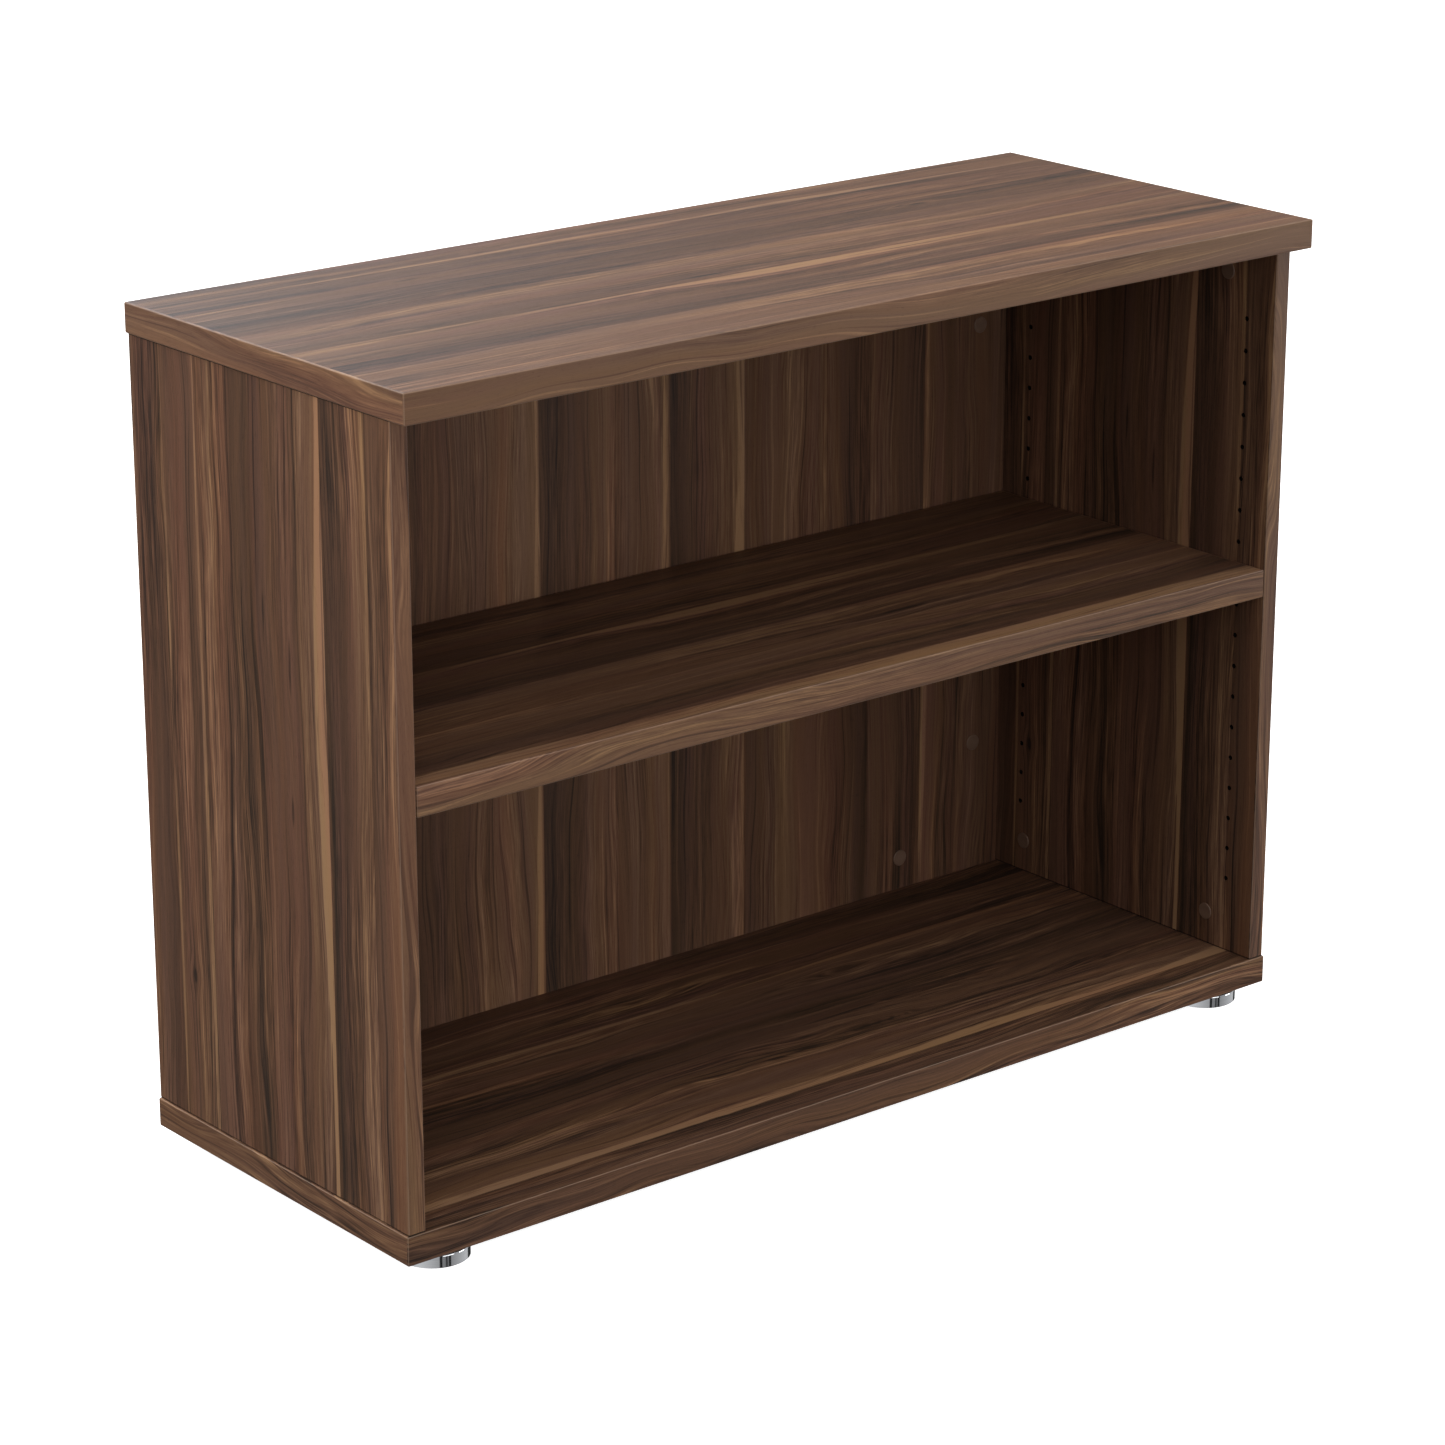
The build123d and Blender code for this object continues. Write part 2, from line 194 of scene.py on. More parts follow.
class Finish(Nodes):
    """A material and the ways to finish it."""

    def __init__(self, name):
        self.material = bpy.data.materials.new(name)
        self.material.use_nodes = True
        super().__init__(self.material.node_tree)
        self.shader = self.tree.nodes["Principled BSDF"]

    def bump(self, height, depth_mm):
        node = self.add("ShaderNodeBump")
        node.inputs["Distance"].default_value = depth_mm * MM
        self.put(height, node.inputs["Height"])
        self.put(node.outputs["Normal"], self.shader.inputs["Normal"])

    def surface(self, colour, roughness, metallic=0.0):
        self.put(colour, self.shader.inputs["Base Color"])
        self.put(roughness, self.shader.inputs["Roughness"])
        self.shader.inputs["Metallic"].default_value = metallic
        return self.material


# ---------------------------------------------------------------- walnut plank decor

# The decor's colours from the darkest heartwood to the palest sapwood.
WOOD_TONES = (
    (0.00, linear(52, 41, 34)),
    (0.25, linear(81, 59, 46)),
    (0.50, linear(107, 77, 59)),
    (0.75, linear(130, 97, 73)),
    (1.00, linear(163, 126, 93)),
)
# The hue wanders between each pair of these, and multiplies the colour.
RED, GREEN = (1.05, 0.97, 0.99, 1.0), (0.98, 1.0, 1.0, 1.0)
GOLD, PLUM = (1.01, 1.0, 0.93, 1.0), (0.99, 1.0, 1.09, 1.0)
HUE_MIDDLE, HUE_REACH = 0.50, 0.20             # the noise at no tint, and how far off it is full
REDNESS_SIZE = (700, 26)                       # each size is the length and width of a noise in mm
YELLOWNESS_SIZE = (600, 18)
PAINTED_CORE_SHADE = linear(26, 20, 17)  # painted shade: the core inside bores, painted darker than raw chipboard is, and the painted shadow lines at the sides' ends
# Painted highlight: the pale colour put on the bands' rounded edges, standing in for the light they catch.
PAINTED_EDGE_HIGHLIGHT = linear(168, 142, 122)

# Layers of the figure, from wide bands to single fibres: length and width in mm, and strength.
FIGURE = (
    (700, 17, 0.66),
    (420, 6.0, 0.60),
    (180, 2.2, 0.55),
    (36, 0.8, 0.75),
)
FIGURE_DETAIL = 1.0
LIFE_SIZE = (300, 34)
CALM_NOISE, LIVELY_NOISE = 0.35, 0.65
CALM, LIVELY = 0.35, 1.5                       # the figure's strength where that noise is low or high
PLANK_SHIFT = 900.0                            # mm of noise from which the planks take their parts
DRIFT = (420, 70, 34.0)                        # slow sway of the figure: length, width and reach in mm
RIPPLE = (110, 24, 10.0)                       # the same for its quick sway

# Marks: the value from which they show, the value where they show fully, and what they add to the tone.
LINES_SIZE = (380, 3.4)
DARK_LINES = (0.32, 0.24, -0.26)
PALE_LINES = (0.69, 0.77, 0.18)
JOINT_LINES = (0.8, 0.1, -0.10)                # these two values are mm from the joint
PORE_FROM, PORE_FULL, PORE_TONE = 0.66, 0.74, -0.12
PORE_SIZE = (6.0, 0.42)
JOINT_INSET = 0.4                              # mm on each side of a joint where the tone changes

RELIEF_DEPTH = 0.035                           # mm
RELIEF_LOW, RELIEF_HIGH = -0.4, 0.8
DULL, SHINY = 0.50, 0.38                       # roughness where the relief is low or high

EYE_TONE = -0.34
EYE_CORE = 0.35                                # share of an eye that is fully dark
EYE_BEND = (3, 5)                              # how far it bends the streaks, in its half length and width
EYE_PUSH = 0.75

SAPWOOD_LEAST, SAPWOOD_MOST = 0.45, 1.5        # how a strip's width wanders, as shares of it
SAPWOOD_EDGE = 0.75                            # share of it that is fully pale
WANDER_SIZE, WANDER_SEED = (240, 60), 0.37     # these seeds are per mm of the joint's place
FADE_SIZE, FADE_SEED = (300, 400), 0.53
FADE_LOW, FADE_HIGH, FADE_LEAST = 0.3, 0.55, 0.6

ROUND_FROM, ROUND_FULL = 0.96, 0.80            # greatest part of the normal, across a rounded edge


class Plank:
    """One strip of the decor: where it starts across the board, in mm, and its tones from edge to edge."""

    def __init__(self, start, *tones):
        self.start = start
        self.tones = tones


def plank_tones(planks, width):
    """Ramp stops for the planks' tones, evenly spaced in each plank, over a board this wide."""
    stops = []
    for plank, end in zip(planks, [p.start for p in planks[1:]] + [width]):
        last = len(plank.tones) - 1
        gap = (end - plank.start) / last
        for i, tone in enumerate(plank.tones):
            inset = JOINT_INSET if i == 0 else -JOINT_INSET if i == last else 0
            place = (plank.start + i * gap + inset) / width
            stops.append((min(max(place, 0), 1), grey(tone)))
    return stops


def plank_seeds(planks, width):
    """Ramp stops that give each plank its own number, so that its figure is its own."""
    golden = 0.618034
    numbers = [(i + 1) * golden % 1 for i in range(len(planks))]
    return [(plank.start / width, grey(number)) for plank, number in zip(planks, numbers)]


def wood(name, grain, across, width, planks, seed, sapwood=(), eyes=(), painted_shade=(), edge_highlight=0.0, wave=1.0,
         contrast=1.0, sheen=0.10):
    """Walnut decor whose grain runs along one axis and whose planks lie side by side along the other.

    grain is the axis letter. across is (letter, place of the board's first edge in mm, +1 or -1).
    sapwood lists pale strips that follow a joint: (joint, +1 or -1 for its side, width, strength).
    eyes lists dark eyes in the figure: (place along the grain, place across, half length, half width).
    painted_shade lists where the dark core colour is painted as shade, inside bores and as shadow lines at
    joints: (axis letter, least and greatest distance from the middle, in mm). edge_highlight is how far the
    rounded edges are painted pale, a painted highlight. wave and contrast say how much the figure sways and
    stands out, and sheen how much the surface mirrors. Each noise has a seed a little off the wood's own.
    """
    finish = Finish(name)
    place = finish.place()
    letter, edge, sign = across
    along = place[grain]
    over = finish.math("MULTIPLY_ADD", place[letter], sign, -edge * sign)
    share = finish.math("DIVIDE", over, width)

    # Each plank takes its figure from another part of the noise.
    own = finish.ramp(share, plank_seeds(planks, width), "CONSTANT")
    shift = finish.math("MULTIPLY", own, PLANK_SHIFT)
    far = finish.math("ADD", along, shift)
    wide = finish.math("ADD", over, shift)

    # The figure drifts and ripples across the grain, so the streaks run in long waves.
    flow = wide
    for (length, spacing, reach), step in ((DRIFT, 0), (RIPPLE, 3)):
        sway = finish.noise(far, wide, length, spacing, seed + step)
        flow = finish.math("MULTIPLY_ADD", sway, reach * wave, flow)
    for eye in eyes:
        flow = bend_round(finish, flow, along, over, *eye)

    tone = finish.ramp(share, plank_tones(planks, width))
    mood = finish.noise(far, wide, *LIFE_SIZE, seed + 23)
    life = finish.scaled(mood, CALM_NOISE, LIVELY_NOISE, CALM * contrast, LIVELY * contrast)
    for index, (length, fineness, strength) in enumerate(FIGURE):
        layer = finish.noise(far, flow, length, fineness, seed + 5 + 2 * index, detail=FIGURE_DETAIL)
        amount = finish.math("MULTIPLY", finish.math("SUBTRACT", layer, 0.5), life)
        tone = finish.math("MULTIPLY_ADD", amount, strength, tone)
    fibres = layer
    lines = finish.noise(far, flow, *LINES_SIZE, seed + 15)
    tone = add_marks(finish, tone, lines, *DARK_LINES)
    tone = add_marks(finish, tone, lines, *PALE_LINES)
    pores = finish.scaled(finish.noise(along, over, *PORE_SIZE, seed + 17), PORE_FROM, PORE_FULL)
    tone = finish.math("MULTIPLY_ADD", pores, PORE_TONE, tone)
    for strip in sapwood:
        tone = add_sapwood(finish, tone, along, over, *strip)
    for eye in eyes:
        tone = finish.math("MULTIPLY_ADD", eye_mask(finish, along, over, *eye), EYE_TONE, tone)
    for plank in planks[1:]:
        gap = finish.math("ABSOLUTE", finish.math("SUBTRACT", over, plank.start))
        tone = add_marks(finish, tone, gap, *JOINT_LINES)

    colour = finish.ramp(tone, WOOD_TONES)
    redness = finish.noise(far, flow, *REDNESS_SIZE, seed + 19, detail=FIGURE_DETAIL)
    yellowness = finish.noise(far, flow, *YELLOWNESS_SIZE, seed + 21, detail=FIGURE_DETAIL)
    for hue, above, below in ((redness, RED, GREEN), (yellowness, GOLD, PLUM)):
        for tint, reach in ((above, HUE_REACH), (below, -HUE_REACH)):
            amount = finish.scaled(hue, HUE_MIDDLE, HUE_MIDDLE + reach)
            colour = finish.mix(amount, colour, tint, "MULTIPLY")
    # Painted highlight: the rounded edges are blended towards a pale colour.
    if edge_highlight:
        colour = finish.mix(rounded_edge(finish, edge_highlight), colour, PAINTED_EDGE_HIGHLIGHT)
    # Painted shade: the dark core colour inside bores, and painted shadow lines at the joints of the sides'
    # ends.
    for axis, near, away in painted_shade:
        reach = finish.math("ABSOLUTE", place[axis])
        within = finish.math("MULTIPLY", finish.math("GREATER_THAN", reach, near),
                             finish.math("LESS_THAN", reach, away))
        colour = finish.mix(within, colour, PAINTED_CORE_SHADE)

    relief = finish.math("SUBTRACT", fibres, pores)
    finish.bump(relief, RELIEF_DEPTH)
    finish.shader.inputs["Specular IOR Level"].default_value = sheen
    return finish.surface(colour, finish.scaled(relief, RELIEF_LOW, RELIEF_HIGH, DULL, SHINY))


def add_marks(finish, tone, value, start, full, strength):
    """Adds strength to the tone where the value has gone from start to full."""
    return finish.math("MULTIPLY_ADD", finish.scaled(value, start, full), strength, tone)


def rounded_edge(finish, strength):
    """Where the surface faces between two axes, as it does on a board's rounded edges."""
    split = finish.add("ShaderNodeSeparateXYZ")
    finish.put(finish.add("ShaderNodeTexCoord").outputs["Normal"], split.inputs[0])
    faces = [finish.math("ABSOLUTE", output) for output in split.outputs]
    most = finish.math("MAXIMUM", finish.math("MAXIMUM", faces[0], faces[1]), faces[2])
    return finish.scaled(most, ROUND_FROM, ROUND_FULL, 0.0, strength, soft=True)


def eye_distance(finish, along, over, eye_along, eye_over, half_length, half_width):
    """Distance from an eye's centre, 1 on its outline."""
    x = finish.math("DIVIDE", finish.math("SUBTRACT", along, eye_along), half_length)
    y = finish.math("DIVIDE", finish.math("SUBTRACT", over, eye_over), half_width)
    squares = finish.math("MULTIPLY_ADD", x, x, finish.math("MULTIPLY", y, y))
    return finish.math("SQRT", squares)


def eye_mask(finish, along, over, *eye):
    return finish.scaled(eye_distance(finish, along, over, *eye), 1.0, EYE_CORE, soft=True)


def bend_round(finish, flow, along, over, eye_along, eye_over, half_length, half_width):
    """Pushes the streaks apart around an eye."""
    length, width = EYE_BEND[0] * half_length, EYE_BEND[1] * half_width
    distance = eye_distance(finish, along, over, eye_along, eye_over, length, width)
    push = finish.scaled(distance, 1.0, 0.0, 0.0, EYE_PUSH, soft=True)
    offset = finish.math("SUBTRACT", eye_over, over)
    return finish.math("ADD", flow, finish.math("MULTIPLY", offset, push))


def add_sapwood(finish, tone, along, over, joint, side, strip, strength):
    """Raises the tone in a strip along a joint, whose inner edge wanders."""
    wander = finish.noise(along, over, *WANDER_SIZE, joint * WANDER_SEED)
    reach = finish.spread(wander, SAPWOOD_LEAST * strip, SAPWOOD_MOST * strip)
    into = finish.math("MULTIPLY", finish.math("SUBTRACT", over, joint), side)
    inside = finish.scaled(finish.math("DIVIDE", into, reach), 1.0, SAPWOOD_EDGE, soft=True)
    beyond = finish.math("GREATER_THAN", into, 0.0)
    paling = finish.noise(along, over, *FADE_SIZE, joint * FADE_SEED)
    fade = finish.scaled(paling, FADE_LOW, FADE_HIGH, FADE_LEAST, 1.0)
    amount = finish.math("MULTIPLY", finish.math("MULTIPLY", inside, beyond), fade)
    return finish.math("MULTIPLY_ADD", amount, strength, tone)


END_SHADOW_WIDTH = 1.3                # width of the painted shadow line at a side's end, where it meets the top or the base
END_SHADOW_PAST = 1                  # how far it reaches past the end, so that none of the end is left out
SKIN = 0.1                     # thickness of the decor over the raw core


def board_edge(node, axis, last):
    """Where a node ends along an axis, in mm."""
    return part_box(node)[1 if last else 0]["XYZ".index(axis)] / MM


def painted_end_shadows(node):
    """Painted shadow lines, fine and dark, where a side's ends meet the top and the base."""
    foot, head = board_edge(node, "Z", False), board_edge(node, "Z", True)
    return [("Z", foot - END_SHADOW_PAST, foot + END_SHADOW_WIDTH), ("Z", head - END_SHADOW_WIDTH, head + END_SHADOW_PAST)]


def make_side_wood():
    rear = board_edge("left_side_rear_band", "Y", True)
    front = board_edge("left_side_front_band", "Y", False)
    planks = (
        Plank(0, 0.42, 0.38, 0.26),
        Plank(48, 0.52, 0.48, 0.50),
        Plank(103, 0.47, 0.49, 0.43, 0.36, 0.33, 0.41, 0.52, 0.48, 0.47, 0.61, 0.71),
        Plank(294, 0.27, 0.20, 0.40, 0.57, 0.66),
        Plank(360, 0.46, 0.54, 0.62, 0.72),
    )
    sapwood = ((103, -1, 4, 0.45), (294, -1, 13, 0.56), (48, 1, 3, 0.30), (360, -1, 5, 0.15))
    eyes = ((522, 240, 34, 2.2), (389, 238, 18, 2.4), (185, 70, 9, 3.4), (560, 201, 26, 1.8))
    inner = abs(board_edge("left_side_panel", "X", True))
    outer = abs(board_edge("left_side_panel", "X", False))
    # Painted shade: the core inside the pin bores is painted dark, and painted shadow lines run along the
    # panel's ends.
    painted_shade = [("X", inner + SKIN, outer - SKIN)] + painted_end_shadows("left_side_panel")
    return wood("walnut_sides", "Z", ("Y", rear, -1), rear - front, planks, seed=1.5, sapwood=sapwood,
                eyes=eyes, painted_shade=painted_shade)


# One long sheet of decor serves the top and, further along, the shelf.
SHEET_PLANKS = (
    Plank(0, 0.48, 0.50, 0.55),
    Plank(47, 0.40, 0.42, 0.46, 0.52),
    Plank(109, 0.28, 0.31, 0.37, 0.47),
    Plank(176, 0.66, 0.60, 0.50, 0.40),
    Plank(255, 0.60, 0.57, 0.51, 0.34, 0.30),
    Plank(341, 0.64, 0.63, 0.55, 0.53),
    Plank(402, 0.68, 0.52, 0.37, 0.28),
    Plank(488, 0.90, 0.92, 0.86),
)
SHEET_WIDTH = 530
SHEET_SEED = 4.0
SHEET_SAPWOOD = ((47, -1, 9, 0.32), (109, -1, 4, 0.20), (255, 1, 12, 0.28), (402, 1, 3, 0.16))
SHELF_START = 134              # where the shelf's rear edge lies on the sheet


def make_top_wood():
    rear = board_edge("top_rear_band", "Y", True)
    eyes = ((-450, 193, 16, 2.2), (-290, 88, 20, 3.0), (-70, 243, 40, 3.0), (280, 130, 30, 4.0),
            (480, 122, 24, 3.0))
    return wood("walnut_top", "X", ("Y", rear, -1), SHEET_WIDTH, SHEET_PLANKS, seed=SHEET_SEED,
                sapwood=SHEET_SAPWOOD, eyes=eyes)


def make_shelf_wood():
    rear = board_edge("shelf_rear_band", "Y", True) + SHELF_START
    eyes = ((150, 383, 44, 2.6), (40, 392, 40, 2.2), (-160, 240, 24, 3.0), (300, 248, 30, 2.0))
    # The last strip makes the shelf paler towards its rear edge.
    sapwood = SHEET_SAPWOOD + ((SHELF_START, 1, 36, 0.17),)
    return wood("walnut_shelf", "X", ("Y", rear, -1), SHEET_WIDTH, SHEET_PLANKS, seed=SHEET_SEED,
                sapwood=sapwood, eyes=eyes, contrast=1.1)


def make_base_wood():
    rear = board_edge("base_rear_band", "Y", True)
    front = board_edge("base_front_band", "Y", False)
    planks = (
        Plank(0, 0.36, 0.34, 0.34),
        Plank(64, 0.54, 0.44, 0.40),
        Plank(131, 0.58, 0.50, 0.32, 0.30, 0.42, 0.50, 0.54, 0.68),
        Plank(365, 0.36, 0.42),
    )
    sapwood = ((131, -1, 6, 0.44), (365, -1, 13, 0.50))
    eyes = ((-20, 293, 60, 3.0), (110, 286, 46, 2.6), (120, 246, 90, 2.4), (0, 98, 60, 5.0))
    return wood("walnut_base", "X", ("Y", rear, -1), rear - front, planks, seed=8.0, sapwood=sapwood,
                eyes=eyes, wave=1.25, contrast=1.35)


def make_back_wood():
    left = board_edge("back_panel", "X", False)
    right = board_edge("back_panel", "X", True)
    planks = (
        Plank(0, 0.50, 0.62),
        Plank(70, 0.32, 0.44),
        Plank(140, 0.55, 0.72),
        Plank(205, 0.26, 0.30, 0.44, 0.62, 0.70),
        Plank(417, 0.24, 0.38, 0.70),
        Plank(507, 0.46, 0.66),
        Plank(575, 0.20, 0.46, 0.70),
        Plank(670, 0.40, 0.70, 0.54, 0.24),
        Plank(835, 0.52, 0.30),
        Plank(907, 0.60, 0.36, 0.48, 0.40),
    )
    sapwood = ((417, -1, 9, 0.30), (575, -1, 6, 0.12), (670, -1, 13, 0.42), (907, 1, 7, 0.30))
    return wood("walnut_back", "Z", ("X", left, 1), right - left, planks, seed=12.0, sapwood=sapwood,
                contrast=0.75)


BAND_WIDTH = 40                # wider than any band, so that none shows the strip's end
# Painted highlight: how pale the bands' rounded edges are painted.
BAND_EDGE_HIGHLIGHT = 0.45
BAND_WAVE = 1.5
BAND_SEED, BAND_SEED_STEP = 20.0, 1.7
BOARD_BANDS = (                # board, tone of the front band, tone of the others, contrast, sheen
    ("top", 0.71, 0.69, 0.65, 0.18),
    ("base", 0.51, 0.59, 1.35, 0.10),
    ("shelf", 0.67, 0.62, 0.90, 0.20),
)
SIDE_BANDS = (("left", 0.70), ("right", 0.56))


def make_band_wood(name, grain, across, tone, seed, painted_shade=(), contrast=1.0, sheen=0.20):
    """Edge band: one strip of long flowing figure, with a painted highlight that makes its rounded edges a
    little paler than its face.
    """
    letter, edge = across
    planks = (Plank(0, tone, tone),)
    return wood(name, grain, (letter, edge, 1), BAND_WIDTH, planks, seed=seed, painted_shade=painted_shade,
                edge_highlight=BAND_EDGE_HIGHLIGHT, wave=BAND_WAVE, contrast=contrast, sheen=sheen)


def paint(node, material):
    for slot in nodes[node].material_slots:
        slot.material = material


def finish_boards():
    paint("top_panel", make_top_wood())
    paint("shelf_board", make_shelf_wood())
    paint("base_panel", make_base_wood())
    paint("back_panel", make_back_wood())
    side_wood = make_side_wood()
    for side in ("left_side", "right_side"):
        paint(f"{side}_panel", side_wood)


def finish_bands():
    """Bands run along X at the front and rear of a board, along Y at its ends, and along Z on the sides."""
    seed = BAND_SEED
    for board, front_tone, end_tone, contrast, sheen in BOARD_BANDS:
        for end, grain in (("front", "X"), ("rear", "X"), ("left", "Y"), ("right", "Y")):
            node = f"{board}_{end}_band"
            across = ("Z", board_edge(node, "Z", False))
            tone = front_tone if end == "front" else end_tone
            band_wood = make_band_wood(f"walnut_{node}", grain, across, tone, seed, contrast=contrast,
                                       sheen=sheen)
            paint(node, band_wood)
            seed += BAND_SEED_STEP
    for side, tone in SIDE_BANDS:
        for end in ("front", "rear"):
            node = f"{side}_side_{end}_band"
            across = ("X", board_edge(node, "X", False))
            # The side bands carry the same painted shadow lines at their ends.
            paint(node, make_band_wood(f"walnut_{node}", "Z", across, tone, seed, painted_end_shadows(node)))
            seed += BAND_SEED_STEP


# ---------------------------------------------------------------- fittings

def make_cap_plastic():
    """Matt brown moulded plastic with a fine spark-eroded grain."""
    finish = Finish("cap_plastic")
    place = finish.place()
    grain = finish.noise(place["X"], place["Z"], 0.35, 0.35, seed=2.0, detail=2.0)
    cloud = finish.noise(place["X"], place["Z"], 9, 9, seed=5.0)
    colour = finish.mix(finish.spread(cloud), linear(109, 84, 68), linear(117, 91, 74))
    finish.bump(grain, depth_mm=0.03)
    return finish.surface(colour, finish.spread(grain, 0.46, 0.58))


def make_pad_plastic():
    """Black polyamide, slightly scuffed where it meets the floor."""
    finish = Finish("pad_plastic")
    place = finish.place()
    grain = finish.noise(place["X"], place["Y"], 0.5, 0.5, seed=3.0, detail=3.0)
    scuff = finish.scaled(finish.noise(place["X"], place["Y"], 3, 9, seed=7.0, detail=4.0), 0.52, 0.7)
    colour = finish.mix(scuff, linear(24, 24, 25), linear(52, 51, 50))
    finish.bump(grain, depth_mm=0.02)
    return finish.surface(colour, finish.scaled(scuff, 0.0, 1.0, 0.42, 0.62))


def make_metal(name, pale, dark, polish, dull, streak):
    """Plated metal. polish and dull are its least and greatest roughness, and streak is the length and
    width in mm of its faint marks."""
    finish = Finish(name)
    place = finish.place()
    round_it = finish.math("ADD", place["X"], place["Y"])
    marks = finish.noise(round_it, place["Z"], *streak, seed=1.0, detail=3.0)
    finish.bump(marks, depth_mm=0.002)
    colour = finish.mix(finish.scaled(marks, 0.35, 0.65), pale, dark)
    return finish.surface(colour, finish.spread(marks, polish, dull), metallic=1.0)


def make_beech():
    """Beech dowel: pale, with short flecks along the grain."""
    finish = Finish("beech")
    place = finish.place()
    flecks = finish.noise(place["Z"], place["X"], 2.4, 0.35, seed=4.0, detail=2.0)
    colour = finish.mix(finish.scaled(flecks, 0.4, 0.62), linear(206, 172, 130), linear(168, 126, 86))
    finish.bump(flecks, depth_mm=0.03)
    return finish.surface(colour, finish.spread(flecks, 0.55, 0.7))


# The threaded stems, in mm.
STEM_RADIUS = 4.95
STEM_BEVEL = 1.0
CUP_WALL = 1.2
COLLAR_RADIUS = 9.0
COLLAR_THICKNESS = 1.5
THREAD_PITCH = 1.5
THREAD_DEPTH = 0.9
THREAD_CREST = 1.25            # above 1 the ridge is cut off flat
STEM_SIDES = 48
RINGS_PER_TURN = 8


def thread_height(height, angle, start, end):
    """How far the thread stands above its root at a height and an angle, from 0 to 1."""
    phase = (height / THREAD_PITCH - angle / (2 * math.pi)) % 1.0
    ridge = min(1.0, THREAD_CREST * (1 - abs(2 * phase - 1)))
    runout = min(1.0, (height - start) / THREAD_PITCH, (end - height) / THREAD_PITCH)
    return 1 - runout * (1 - ridge)


def make_stem(corner, steel):
    """Threaded stem with the collar that carries the cup, as one closed surface of stacked rings."""
    low, high = (Vector(point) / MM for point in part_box(f"{corner}_foot_stem"))
    cup_top = board_edge(f"{corner}_foot_cup", "Z", True)
    centre = Vector(((low.x + high.x) / 2, (low.y + high.y) / 2, 0))
    collar_top = cup_top - CUP_WALL
    collar_foot = collar_top - COLLAR_THICKNESS
    rings = [(low.z, STEM_RADIUS - STEM_BEVEL / 2), (low.z + STEM_BEVEL / 2, STEM_RADIUS),
             (collar_foot, STEM_RADIUS), (collar_foot, COLLAR_RADIUS),
             (collar_top, COLLAR_RADIUS), (collar_top, STEM_RADIUS)]
    start, end = cup_top, high.z - STEM_BEVEL
    steps = int((end - start) / THREAD_PITCH * RINGS_PER_TURN)
    rings += [(start + (end - start) * i / steps, STEM_RADIUS) for i in range(steps + 1)]
    rings.append((high.z, STEM_RADIUS - STEM_BEVEL))

    mesh = bmesh.new()
    loops = []
    for height, reach in rings:
        loop = []
        for side in range(STEM_SIDES):
            angle = 2 * math.pi * side / STEM_SIDES
            out = reach
            if start < height < end:
                out -= THREAD_DEPTH * (1 - thread_height(height, angle, start, end))
            point = Vector((math.cos(angle) * out, math.sin(angle) * out, height))
            loop.append(mesh.verts.new((point + centre) * MM))
        loops.append(loop)
    for lower, upper in zip(loops, loops[1:]):
        for side in range(STEM_SIDES):
            after = (side + 1) % STEM_SIDES
            mesh.faces.new((lower[side], lower[after], upper[after], upper[side]))
    mesh.faces.new(list(reversed(loops[0])))
    mesh.faces.new(loops[-1])

    data = bpy.data.meshes.new(f"{corner}_threaded_stem")
    mesh.to_mesh(data)
    mesh.free()
    data.materials.append(steel)
    stem = bpy.data.objects.new(f"{corner}_threaded_stem", data)
    bpy.context.scene.collection.objects.link(stem)
    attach(stem, f"{corner}_screw")
    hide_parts(f"{corner}_foot_stem")


def finish_fittings():
    zinc = make_metal("zinc", linear(176, 178, 182), linear(140, 142, 146), 0.34, 0.5, (1.2, 1.2))
    steel = make_metal("plated_steel", linear(198, 200, 204), linear(160, 163, 168), 0.2, 0.32, (6, 0.3))
    chrome = make_metal("chrome", linear(226, 228, 231), linear(216, 218, 222), 0.05, 0.09, (30, 0.4))
    beech, cap_plastic, pad_plastic = make_beech(), make_cap_plastic(), make_pad_plastic()
    for board in ("left_side", "right_side", "back"):
        paint(f"{board}_cam_locks", zinc)
        paint(f"{board}_cam_bolts", steel)
        paint(f"{board}_dowels", beech)
        paint(f"{board}_cover_caps", cap_plastic)
    paint("foot_inserts", zinc)
    for corner in CORNERS:
        paint(f"{corner}_shelf_pin", steel)
        paint(f"{corner}_foot_cup", chrome)
        make_stem(corner, steel)
        paint(f"{corner}_foot_pad", pad_plastic)


# ---------------------------------------------------------------- studio

def aim(lamp, place, target):
    lamp.location = place
    lamp.rotation_euler = (Vector(target) - Vector(place)).to_track_quat("-Z", "Y").to_euler()


def add_softbox(name, place, target, size, brightness):
    """A rectangular lamp whose face has this brightness."""
    data = bpy.data.lights.new(name, "AREA")
    data.shape = "RECTANGLE"
    data.size, data.size_y = size
    data.energy = brightness * math.pi * size[0] * size[1]
    lamp = bpy.data.objects.new(name, data)
    bpy.context.scene.collection.objects.link(lamp)
    aim(lamp, place, target)


def add_sky():
    """A lamp overhead, so large and far that every board gets the same light from it."""
    data = bpy.data.lights.new("overhead", "SUN")
    data.energy = SKY_BRIGHTNESS * math.pi
    data.angle = math.radians(SKY_WIDTH)
    lamp = bpy.data.objects.new("overhead", data)
    bpy.context.scene.collection.objects.link(lamp)
    aim(lamp, (0, 0, 1), (0, 0, 0))


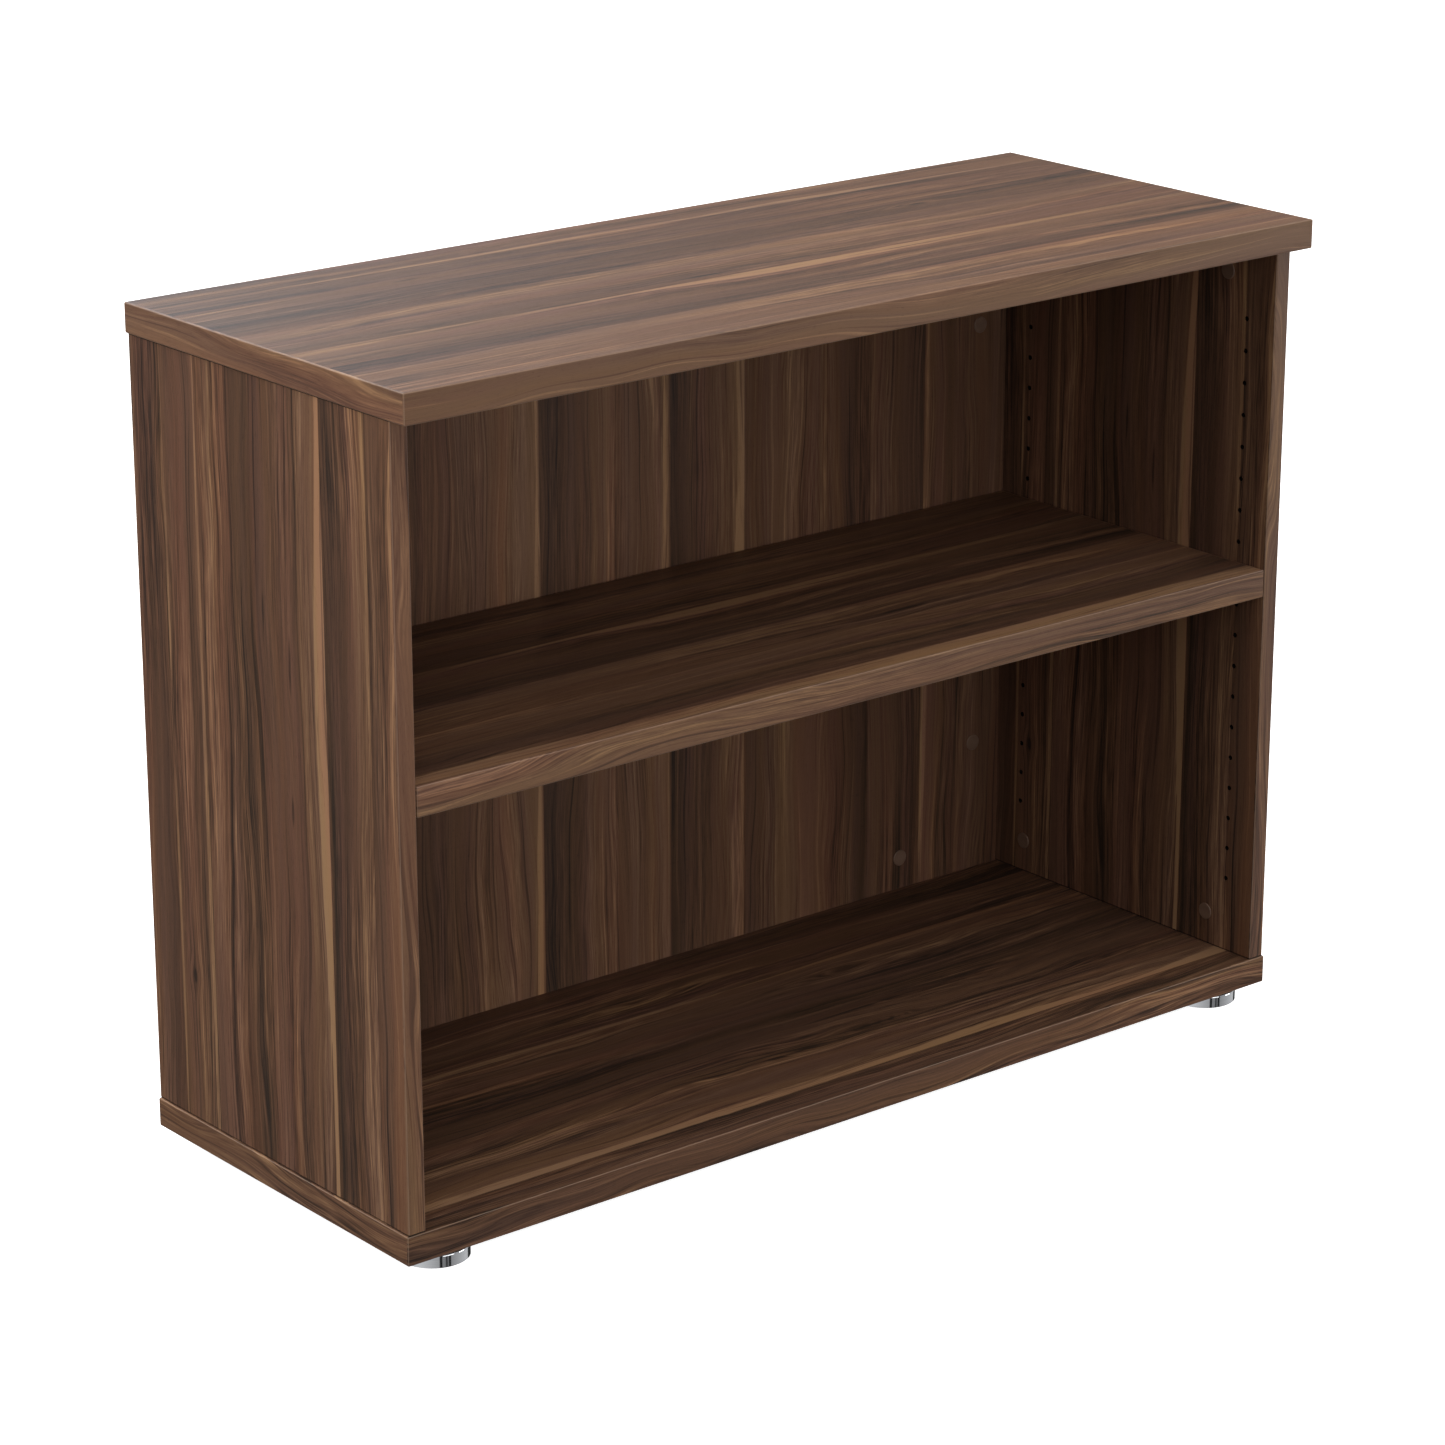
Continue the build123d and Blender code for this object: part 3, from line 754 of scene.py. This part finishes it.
SKY_BRIGHTNESS = 0.56
SKY_WIDTH = 100                # degrees
SOFTBOXES = (                  # name, place, width and height, brightness
    ("left", (-3.0, 0.9, 2.1), (2.4, 2.0), 4.0),
    ("front", (0.2, -3.8, 1.1), (2.4, 1.6), 2.1),
    ("front_left", (-2.6, -3.0, 1.8), (1.8, 1.8), 2.1),
    ("right_low", (4.5, -3.4, 0.5), (2.0, 1.0), 9.9),
    ("right", (3.4, 0.6, 1.8), (2.0, 1.8), 2.6),
    ("rear_left", (-1.5, 4.6, 1.6), (2.4, 1.4), 4.8),
    ("rear", (0.3, 5.0, 1.9), (2.6, 1.6), 4.8),
)
SOFTBOX_AIM = 0.62             # share of the object's height at which they point

ROOM_LIGHT = 0.09              # what the room around the object gives from every side
ROOM_SEEN = 1.0                # how bright it looks behind the object
ROOM_REFLECTED = 0.60          # how bright its panels are in the object's reflections
FLOOR_REACH = 25.0
FLOOR_ROUGHNESS = 0.7
FLOOR_GLOW = 0.92              # the floor is lit from below too, as a product table is

# What a shiny part sees around it: pale walls, and black flags at the front and the right that give
# chrome its dark lines. Each stop is a compass angle, 0 at the front and 90 at the right, and a level.
PANORAMA = (
    (-180, 0.30), (-125, 0.35), (-95, 1.10), (-80, 1.10), (-20, 0.65),
    (-17, 0.02), (-11, 0.02),
    (-9, 0.42), (1, 0.36),
    (2, 0.05), (6, 0.05),
    (8, 0.32), (11, 0.32),
    (12, 0.02), (18, 0.02),
    (20, 0.50), (84, 1.00), (96, 0.90),
    (98, 0.03), (118, 0.03),
    (121, 0.25), (140, 0.45), (180, 0.30),
)
# A bright panel stands above the horizon at the rear: its sheen lies on the top. Stops as above.
SHEEN_PANEL = ((-180, 1.4), (-170, 0.0), (140, 0.0), (150, 2.0), (158, 6.6), (172, 7.6), (180, 1.4))
SHEEN_COLOUR = (0.84, 1.02, 1.15, 1.0)
SHEEN_FROM, SHEEN_FULL = 0.0, 0.12             # how far up it starts and is full, as 0 to 1 overhead
CEILING_SEEN = 2.2             # level of the panel overhead, which whitens rims that look up
CEILING_FROM, CEILING_FULL = 0.55, 0.75        # the same for this panel


def panorama(room, turn, stops):
    """The level for each compass angle, where turn is 0 to 1 for a whole turn."""
    brightest = max(level for _, level in stops)
    ramp = room.ramp(turn, [(angle / 360 + 0.5, grey(level / brightest)) for angle, level in stops])
    return room.math("MULTIPLY", ramp, brightest * ROOM_REFLECTED)


def add_room():
    """Even light from all round, the panorama in reflections, and a pale backdrop to the camera."""
    world = bpy.data.worlds.new("room")
    world.use_nodes = True
    room = Nodes(world.node_tree)
    toward = room.add("ShaderNodeSeparateXYZ")
    room.put(room.add("ShaderNodeTexCoord").outputs["Generated"], toward.inputs[0])
    ahead = room.math("MULTIPLY", toward.outputs["Y"], -1.0)
    compass = room.math("ARCTAN2", toward.outputs["X"], ahead)
    turn = room.math("MULTIPLY_ADD", compass, 0.5 / math.pi, 0.5)
    raised = room.scaled(toward.outputs["Z"], SHEEN_FROM, SHEEN_FULL, soft=True)
    panel = room.math("MULTIPLY", panorama(room, turn, SHEEN_PANEL), raised)
    sheen = room.mix(1.0, panel, SHEEN_COLOUR, "MULTIPLY")
    walls = room.mix(1.0, panorama(room, turn, PANORAMA), sheen, "ADD")
    above = room.scaled(toward.outputs["Z"], CEILING_FROM, CEILING_FULL, soft=True)
    panels = room.mix(above, walls, grey(CEILING_SEEN * ROOM_REFLECTED))
    unseen = room.for_rays("Is Glossy Ray", panels, grey(ROOM_LIGHT))
    seen = room.for_rays("Is Camera Ray", grey(ROOM_SEEN), unseen)
    room.put(seen, world.node_tree.nodes["Background"].inputs["Color"])
    bpy.context.scene.world = world


def add_floor():
    """A pale floor that only the camera sees: its light on the wood is part of the lamps' light."""
    mesh = bpy.data.meshes.new("floor")
    signs = ((-1, -1), (1, -1), (1, 1), (-1, 1))
    mesh.from_pydata([(x * FLOOR_REACH, y * FLOOR_REACH, 0) for x, y in signs], [], [(0, 1, 2, 3)])
    floor = bpy.data.objects.new("floor", mesh)
    bpy.context.scene.collection.objects.link(floor)
    finish = Finish("pale_floor")
    place = finish.place()
    cloud = finish.noise(place["X"], place["Y"], 400, 400, seed=1.0, detail=3.0)
    pale = finish.mix(finish.spread(cloud), linear(232, 232, 232), linear(238, 238, 238))
    mesh.materials.append(finish.surface(pale, FLOOR_ROUGHNESS))
    finish.shader.inputs["Emission Color"].default_value = (1, 1, 1, 1)
    finish.shader.inputs["Emission Strength"].default_value = FLOOR_GLOW
    floor.visible_diffuse = False
    floor.visible_glossy = False


def add_lights():
    low, high = cad_box
    target = ((low[0] + high[0]) / 2, (low[1] + high[1]) / 2, high[2] * SOFTBOX_AIM)
    add_sky()
    for name, place, size, brightness in SOFTBOXES:
        add_softbox(name, place, target, size, brightness)


add_camera()
finish_boards()
finish_bands()
finish_fittings()
add_room()
add_floor()
add_lights()
bpy.context.scene.view_settings.view_transform = "Standard"
